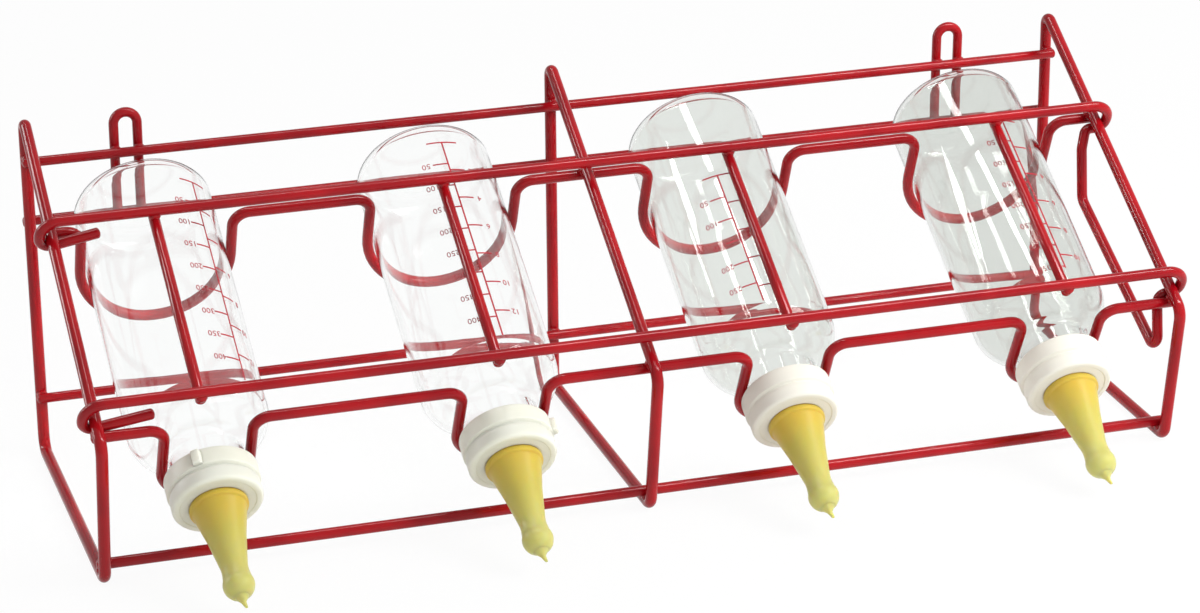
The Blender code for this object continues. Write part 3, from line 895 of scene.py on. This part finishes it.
def red_coating():
    """Dipped plastic over wire: deep glossy red, a little uneven where the dip ran."""
    material, tree, shader = new_material("red_dip_coating")
    if tree is None:
        return material
    colours = bpy.context.scene.rack_colours
    patches = noise(tree, scale=28.0, detail=2.0)
    tint(tree, shader, patches, (0.36, colours.red_deep), (0.62, colours.red))
    vary_roughness(tree, shader, noise(tree, scale=420.0, detail=3.0), low=0.09, high=0.18)
    bump(tree, shader, noise(tree, scale=95.0, detail=2.0), strength=0.16, distance=0.0006)
    set_inputs(shader, {"IOR": 1.45, "Specular IOR Level": 0.32})
    return material


def clear_glass(melt):
    """Moulded glass, clear or a little grey, with the slow ripple of a pressed wall."""
    material, tree, shader = new_material("bottle_" + melt)
    if tree is None:
        return material
    shade_of_glass = getattr(bpy.context.scene.rack_colours, melt)
    set_inputs(shader, {"Base Color": (*shade_of_glass, 1.0), "Transmission Weight": 1.0})
    set_inputs(shader, {"IOR": 1.43, "Roughness": 0.015})
    bump(tree, shader, noise(tree, scale=42.0, detail=2.0), strength=0.05, distance=0.0010)
    return material


def cap_plastic(used):
    """Moulded cap: satin and translucent, creamier on a cap that has been used."""
    material, tree, shader = new_material("used_cap_plastic" if used else "cap_plastic")
    if tree is None:
        return material
    colours = bpy.context.scene.rack_colours
    base = Vector(colours.cap_used if used else colours.cap)
    tint(tree, shader, noise(tree, scale=55.0, detail=4.0), (0.30, base * 0.94), (0.65, base))
    grain = noise(tree, scale=900.0, detail=2.0)
    vary_roughness(tree, shader, grain, low=0.34, high=0.48)
    bump(tree, shader, grain, strength=0.06, distance=0.0002)
    set_inputs(shader, {"Subsurface Weight": 0.60, "Subsurface Radius": (1.0, 0.97, 0.90)})
    set_inputs(shader, {"Subsurface Scale": 0.006, "IOR": 1.49})
    return material


def teat_rubber():
    """Amber latex that light passes through, with the faint bloom of moulded rubber."""
    material, tree, shader = new_material("amber_latex")
    if tree is None:
        return material
    colours = bpy.context.scene.rack_colours
    along = new_node(tree, "ShaderNodeAttribute", attribute_name="along")
    shift = new_node(tree, "ShaderNodeMath", {1: 0.22}, operation="MULTIPLY_ADD")
    tree.links.new(noise(tree, scale=60.0, detail=3.0), shift.inputs[0])
    join(tree, (along, "Fac", shift, 2))
    stops = (0.16, colours.teat_deep), (0.42, colours.teat), (0.92, colours.teat_tip)
    tint(tree, shader, shift.outputs[0], *stops)
    bloom = noise(tree, scale=700.0, detail=2.0)
    vary_roughness(tree, shader, bloom, low=0.30, high=0.44)
    bump(tree, shader, bloom, strength=0.05, distance=0.0002)
    set_inputs(shader, {"Transmission Weight": 0.30, "Subsurface Weight": 0.55, "IOR": 1.42})
    set_inputs(shader, {"Subsurface Radius": (1.0, 0.65, 0.20), "Subsurface Scale": 0.006})
    return material


def print_enamel():
    """Fired red enamel, thin and a little worn."""
    material, tree, shader = new_material("red_print")
    if tree is None:
        return material
    base = Vector(bpy.context.scene.rack_colours.print_red)
    tint(tree, shader, noise(tree, scale=380.0, detail=4.0), (0.38, base), (0.72, base * 1.5))
    set_inputs(shader, {"Roughness": 0.42})
    return material


# Operators
class RACK_OT_wires(bpy.types.Operator):
    """Makes the fixed wires: frames, rails, cradles and hanging loops"""

    bl_idname = "rack.build_wires"
    bl_label = "Rack Wires"

    def execute(self, context):
        rack = context.scene.rack_layout
        wires = context.scene.rack_wires
        bottle = context.scene.rack_bottle
        radii = [rack.apex_bend, rack.frame_bend, cradle_offset(), rack.frame_bend]
        for name in FRAMES:
            loop = bent_path(frame_corners(middle(name).x), radii, closed=True)
            build_wire(name, loop, wires.frame, "rack", closed=True)
        for name in BACK_RAILS:
            straight_wire(name, wires.rail, "rack")
        straight_wire("bottom_front_rail", wires.cradle, "rack")

        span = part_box("rear_bottle_cradle")[1].x
        seat = wires.gap + wires.cradle / 2
        body = bottle.radius + seat
        neck = bottle.neck + seat
        rear = cradle_points(rack.rear_along, body, body, rack.rear_lean, span)
        front = cradle_points(rack.neck_along, neck, rack.neck_round, rack.neck_lean, span)
        build_wire("rear_bottle_cradle", rear, wires.cradle, "rack")
        build_wire("front_neck_cradle", front, wires.cradle, "rack")

        for name in LOOPS:
            low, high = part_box(name)
            x = middle(name).x
            half = rack.loop_width / 2
            feet = middle(name).y + LOOP_FEET_BACK
            crown = feet - LOOP_CROWN_FORWARD
            top = high.z - wires.rail / 2
            hairpin = ((-half, feet, low.z), (-half, crown, top), (half, crown, top), (half, feet, low.z))
            corners = [Vector((x + across, y, z)) for across, y, z in hairpin]
            bent = bent_path(corners, [0.0, half * LOOP_ROUND, half * LOOP_ROUND, 0.0])
            build_wire(name, bent, wires.rail, "rack")
        return {"FINISHED"}


class RACK_OT_gate(bpy.types.Operator):
    """Makes the hooked gate wire and its four bars"""

    bl_idname = "rack.build_gate"
    bl_label = "Gate"

    def execute(self, context):
        wires = context.scene.rack_wires
        end_x = (middle("right_end_frame") - middle("left_end_frame")).x / 2
        build_wire("gate_wire", gate_points(end_x), wires.gate, "gate")
        bar, _ = gate_heights()
        for i in BOTTLES:
            name = f"gate_bar_{i}"
            x = middle(name).x
            start = slope_point(x, bar, wires.gate_top - wires.gate / 2)
            end = slope_point(x, bar, wires.gate_top + wires.gate_length + wires.bar_overrun)
            build_wire(name, [start, end], wires.gate, "gate")
        return {"FINISHED"}


class RACK_OT_beads(bpy.types.Operator):
    """Puts a coated bead wherever two wires are welded"""

    bl_idname = "rack.build_beads"
    bl_label = "Weld Beads"

    def rack_points(self, context):
        rack = context.scene.rack_layout
        points = []
        for name in FRAMES:
            x = middle(name).x
            for rail in map(middle, BACK_RAILS):
                points.append(Vector((x, (rack.upright_y + rail.y) / 2, rail.z)))
            rail = middle("bottom_front_rail")
            points.append(Vector((x, rail.y, (rail.z + rack.foot_z) / 2)))
            for along in (rack.rear_along, rack.neck_along):
                points.append(slope_point(x, -cradle_offset() / 2, along))
        for name in LOOPS:
            for side in (-1, 1):
                leg = middle(name).x + side * rack.loop_width / 2
                for rail, shift in zip(map(middle, BACK_RAILS), (LOOP_BEAD_SHIFT, -LOOP_BEAD_SHIFT)):
                    points.append(Vector((leg, rail.y + shift, rail.z)))
        return points

    def gate_points(self, context):
        wires = context.scene.rack_wires
        bar, high = gate_heights()
        points = []
        for i in BOTTLES:
            for along in (wires.gate_top, wires.gate_top + wires.gate_length):
                points.append(slope_point(middle(f"gate_bar_{i}").x, (bar + high) / 2, along))
        return points

    def execute(self, context):
        wires = context.scene.rack_wires
        values = {"Radius": wires.bead, "Material": red_coating()}
        for name, body, points in (
            ("rack_weld_beads", "rack", self.rack_points(context)),
            ("gate_weld_beads", "gate", self.gate_points(context)),
        ):
            seed = bpy.data.meshes.new(name + "_points")
            seed.from_pydata(points, [], [])
            add_piece(name, grown_mesh(name, seed, bead_tree(), values), body)
        return {"FINISHED"}


class RACK_OT_bottles(bpy.types.Operator):
    """Makes the four glass bottles"""

    bl_idname = "rack.build_bottles"
    bl_label = "Bottles"

    def execute(self, context):
        sides = context.scene.rack_bottle.sides
        for i in BOTTLES:
            mesh = turned(f"glass_bottle_{i}", glass_profile(), sides, clear_glass(MELTS[i - 1]))
            mesh.transform(bottle_place(i - 1))
            piece = add_piece(f"glass_bottle_{i}", mesh, f"bottle_{i}", [f"bottle_{i}"])
            piece.visible_shadow = False
        return {"FINISHED"}


class RACK_OT_caps(bpy.types.Operator):
    """Makes the four screw caps"""

    bl_idname = "rack.build_caps"
    bl_label = "Caps"

    def execute(self, context):
        cap = context.scene.rack_cap
        turns = context.scene.rack_layout.cap_turn
        for i in BOTTLES:
            mesh = turned(f"screw_cap_{i}", cap_profile(), cap.sides, cap_plastic(i in USED_CAPS), True)
            top = cap.back_tier - LUG_GAPS[1]
            add_lug(mesh, cap.lug_width, cap.lug_reach, LUG_GAPS[0], top, cap.radius)
            place = bottle_place(i - 1) @ Matrix.Translation((0.0, 0.0, cap_start()))
            mesh.transform(place @ Matrix.Rotation(turns[i - 1], 4, "Z"))
            add_piece(f"screw_cap_{i}", mesh, f"cap_{i}", [f"cap_{i}"])
        return {"FINISHED"}


class RACK_OT_teats(bpy.types.Operator):
    """Makes the four rubber teats"""

    bl_idname = "rack.build_teats"
    bl_label = "Teats"

    def execute(self, context):
        teat = context.scene.rack_teat
        gap = context.scene.rack_wires.gap
        profile, bulb_end, tip = teat_profile()
        for i in BOTTLES:
            mesh = turned(f"rubber_teat_{i}", profile, teat.sides, teat_rubber())
            along = mesh.attributes.new("along", "FLOAT", "POINT")
            shares = [max(0.0, vert.co.z - teat.face) / teat.length for vert in mesh.vertices]
            along.data.foreach_set("value", shares)
            for vert in mesh.vertices:
                past = max(0.0, vert.co.z - bulb_end) / (tip - bulb_end)
                vert.co.x += teat.nib_bend * past**2
            mesh.transform(
                bottle_place(i - 1) @ Matrix.Translation((0.0, 0.0, context.scene.rack_bottle.lip + gap))
            )
            add_piece(f"rubber_teat_{i}", mesh, f"cap_{i}", [f"teat_{i}"])
        return {"FINISHED"}


class RACK_OT_scales(bpy.types.Operator):
    """Prints the graduations and plain numerals on each bottle"""

    bl_idname = "rack.build_scales"
    bl_label = "Scales"

    def marks(self, context, angle, start, spacing, side):
        """A ladder of equal marks on one side of the scale's line, with plain numerals at their ends."""
        sizes = context.scene.rack_scale
        radius = context.scene.rack_bottle.radius + sizes.ink * 0.6
        sweep = sizes.mark / radius
        steps = int((sizes.end - start) / spacing) + 1
        values = {
            "Count": steps,
            "Start": start,
            "Spacing": spacing,
            "Radius": radius,
            "From": angle if side > 0 else angle - sweep,
            "Sweep": sweep,
            "Line": sizes.line,
            "Ink": sizes.ink,
            "Material": print_enamel(),
        }
        meshes = [grown_mesh("marks", bpy.data.meshes.new("seed"), mark_tree(), values)]
        beside = angle + side * (sweep + 0.75 * sizes.numeral / radius)
        for k in range(1, steps):
            along = start + k * spacing
            numeral = str(50 * k if side > 0 else 2 * k)
            meshes.append(scale_numeral(numeral, beside, along, sizes.numeral, radius, sizes.ink))
        return meshes

    def line(self, context, angle, start):
        """The long line that the marks stand on."""
        sizes = context.scene.rack_scale
        radius = context.scene.rack_bottle.radius
        half = sizes.line / 2 / radius
        corners = []
        for along in (start - sizes.line / 2, sizes.end):
            for turned_by in (-half, half):
                for reach in (radius, radius + 1.2 * sizes.ink):
                    around = angle + turned_by
                    corners.append((reach * math.cos(around), reach * math.sin(around), along))
        mesh = bpy.data.meshes.new("line")
        sides = [(0, 1, 3, 2), (4, 6, 7, 5), (0, 4, 5, 1), (2, 3, 7, 6), (1, 5, 7, 3), (0, 2, 6, 4)]
        mesh.from_pydata(corners, [], sides)
        return mesh

    def execute(self, context):
        sizes = context.scene.rack_scale
        for i in BOTTLES:
            angle, start = sizes.column_turn[i - 1], sizes.start[i - 1]
            meshes = self.marks(context, angle, start, sizes.right_spacing, -1)
            meshes += self.marks(context, angle, start, sizes.left_spacing, 1)
            meshes.append(self.line(context, angle, start))
            maker = bmesh.new()
            for mesh in meshes:
                maker.from_mesh(mesh)
            printed = bpy.data.meshes.new(f"printed_scale_{i}")
            write_mesh(maker, printed, WIRE_MERGE)
            printed.materials.clear()
            printed.materials.append(print_enamel())
            for face in printed.polygons:
                face.material_index = 0
                face.use_smooth = False
            printed.transform(bottle_place(i - 1))
            add_piece(f"printed_scale_{i}", printed, f"bottle_{i}")
        return {"FINISHED"}


class RACK_OT_stage(bpy.types.Operator):
    """Sets the floor, the lamps and the camera"""

    bl_idname = "rack.build_stage"
    bl_label = "Stage"

    def backdrop_share(self, tree):
        """1 for rays that show the backdrop to the camera, straight or through glass."""
        path = new_node(tree, "ShaderNodeLightPath")
        most = new_node(tree, "ShaderNodeMath", operation="MAXIMUM")
        join(tree, (path, "Is Camera Ray", most, 0), (path, "Is Transmission Ray", most, 1))
        return path, most

    def floor(self):
        mesh = bpy.data.meshes.new("studio_floor")
        corners = [(x * FLOOR_HALF, y * FLOOR_HALF, 0.0) for x, y in ((-1, -1), (1, -1), (1, 1), (-1, 1))]
        mesh.from_pydata(corners, [], [(0, 1, 2, 3)])
        material, tree, shader = new_material("studio_white")
        tree.nodes.remove(shader)
        matte = new_node(tree, "ShaderNodeBsdfDiffuse", {"Color": FLOOR_WHITE})
        glow = new_node(tree, "ShaderNodeEmission")
        mix = new_node(tree, "ShaderNodeMixShader")
        path, most = self.backdrop_share(tree)
        glossy = new_node(tree, "ShaderNodeMath", operation="MAXIMUM")
        part = new_node(tree, "ShaderNodeMath", {1: FLOOR_GLOW}, operation="MULTIPLY")
        join(
            tree,
            (most, 0, glossy, 0), (path, "Is Glossy Ray", glossy, 1), (glossy, 0, part, 0),
            (part, 0, mix, "Fac"), (matte, 0, mix, 1), (glow, 0, mix, 2),
        )
        tree.links.new(mix.outputs[0], tree.nodes["Material Output"].inputs["Surface"])
        mesh.materials.append(material)
        floor = add_object("studio_floor", mesh)

    def world(self, strength):
        world = bpy.data.worlds.new("studio")
        world.use_nodes = True
        tree = world.node_tree
        tree.nodes.clear()
        even = new_node(tree, "ShaderNodeBackground", {"Strength": strength})
        white = new_node(tree, "ShaderNodeBackground")
        mix = new_node(tree, "ShaderNodeMixShader")
        output = new_node(tree, "ShaderNodeOutputWorld")
        for node in (even, white):
            node.inputs["Color"].default_value = (1.0, 1.0, 1.0, 1.0)
        _, most = self.backdrop_share(tree)
        join(
            tree,
            (most, 0, mix, "Fac"), (even, 0, mix, 1), (white, 0, mix, 2), (mix, 0, output, "Surface"),
        )
        bpy.context.scene.world = world

    def lamp(self, name, place, target, width, height, power, seen_by=None):
        """An area lamp that lights all but isn't mirrored, or that only the given pieces mirror."""
        light = bpy.data.lights.new(name, "AREA")
        light.shape = "RECTANGLE"
        light.size = width
        light.size_y = height
        light.energy = power
        lamp = add_object(name, light)
        lamp.location = place
        lamp.rotation_euler = (Vector(target) - Vector(place)).to_track_quat("-Z", "Y").to_euler()
        lamp.visible_glossy = seen_by is not None
        lamp.visible_diffuse = seen_by is None
        if seen_by is not None:
            group = bpy.data.collections.new(name)
            for piece in seen_by:
                group.objects.link(piece)
            lamp.light_linking.receiver_collection = group

    def execute(self, context):
        stage = context.scene.rack_stage
        self.floor()
        self.world(stage.sky)
        pieces = [piece for piece in bpy.data.objects if piece.type == "MESH" and not piece.hide_render]
        clear = ("glass_bottle_1", "glass_bottle_2")
        mirrors = {
            None: None,
            "glossy": [piece for piece in pieces if piece.name not in clear],
            "wires": [piece for piece in pieces if piece.name.startswith("coated_")],
        }
        for name, (power, place, target, width, height, seen_by) in LAMPS.items():
            self.lamp(name, place, target, width, height, getattr(stage, power), mirrors[seen_by])
        heading, pitch, roll = stage.heading, stage.pitch, stage.roll
        ahead = Vector(
            (math.sin(heading) * math.cos(pitch), math.cos(heading) * math.cos(pitch), math.sin(pitch))
        )
        right = ahead.cross(Vector((0.0, 0.0, 1.0))).normalized()
        up = right.cross(ahead)
        across = right * math.cos(roll) + up * math.sin(roll)
        upward = up * math.cos(roll) - right * math.sin(roll)
        camera = add_object("camera", bpy.data.cameras.new("camera"))
        camera.data.lens = stage.focal
        camera.data.sensor_width = SENSOR_WIDTH
        camera.data.clip_end = CAMERA_REACH
        facing = Matrix((across, upward, -ahead)).transposed().to_4x4()
        camera.matrix_world = Matrix.Translation(stage.camera) @ facing
        context.scene.camera = camera
        context.scene.view_settings.view_transform = "Standard"
        return {"FINISHED"}


class RACK_PT_panel(bpy.types.Panel):
    """Lists the builders of the rack"""

    bl_idname = "RACK_PT_panel"
    bl_label = "Bottle Rack"
    bl_space_type = "VIEW_3D"
    bl_region_type = "UI"
    bl_category = "Bottle Rack"

    def draw(self, context):
        for operator in OPERATORS:
            self.layout.operator(operator.bl_idname)


GROUPS = {
    "rack_layout": RackLayout,
    "rack_wires": WireSizes,
    "rack_bottle": BottleSizes,
    "rack_cap": CapSizes,
    "rack_teat": TeatSizes,
    "rack_scale": ScaleSizes,
    "rack_colours": FinishColours,
    "rack_stage": StageSettings,
}
OPERATORS = (
    RACK_OT_wires,
    RACK_OT_gate,
    RACK_OT_beads,
    RACK_OT_bottles,
    RACK_OT_caps,
    RACK_OT_teats,
    RACK_OT_scales,
    RACK_OT_stage,
)


def register():
    for name, group in GROUPS.items():
        bpy.utils.register_class(group)
        setattr(bpy.types.Scene, name, bpy.props.PointerProperty(type=group))
    for operator in OPERATORS:
        bpy.utils.register_class(operator)
    bpy.utils.register_class(RACK_PT_panel)


def unregister():
    bpy.utils.unregister_class(RACK_PT_panel)
    for operator in reversed(OPERATORS):
        bpy.utils.unregister_class(operator)
    for name, group in reversed(GROUPS.items()):
        delattr(bpy.types.Scene, name)
        bpy.utils.unregister_class(group)


def main():
    register()
    bpy.ops.rack.build_wires()
    bpy.ops.rack.build_gate()
    bpy.ops.rack.build_beads()
    bpy.ops.rack.build_bottles()
    bpy.ops.rack.build_caps()
    bpy.ops.rack.build_teats()
    bpy.ops.rack.build_scales()
    bpy.ops.rack.build_stage()


if __name__ == "__main__":
    main()
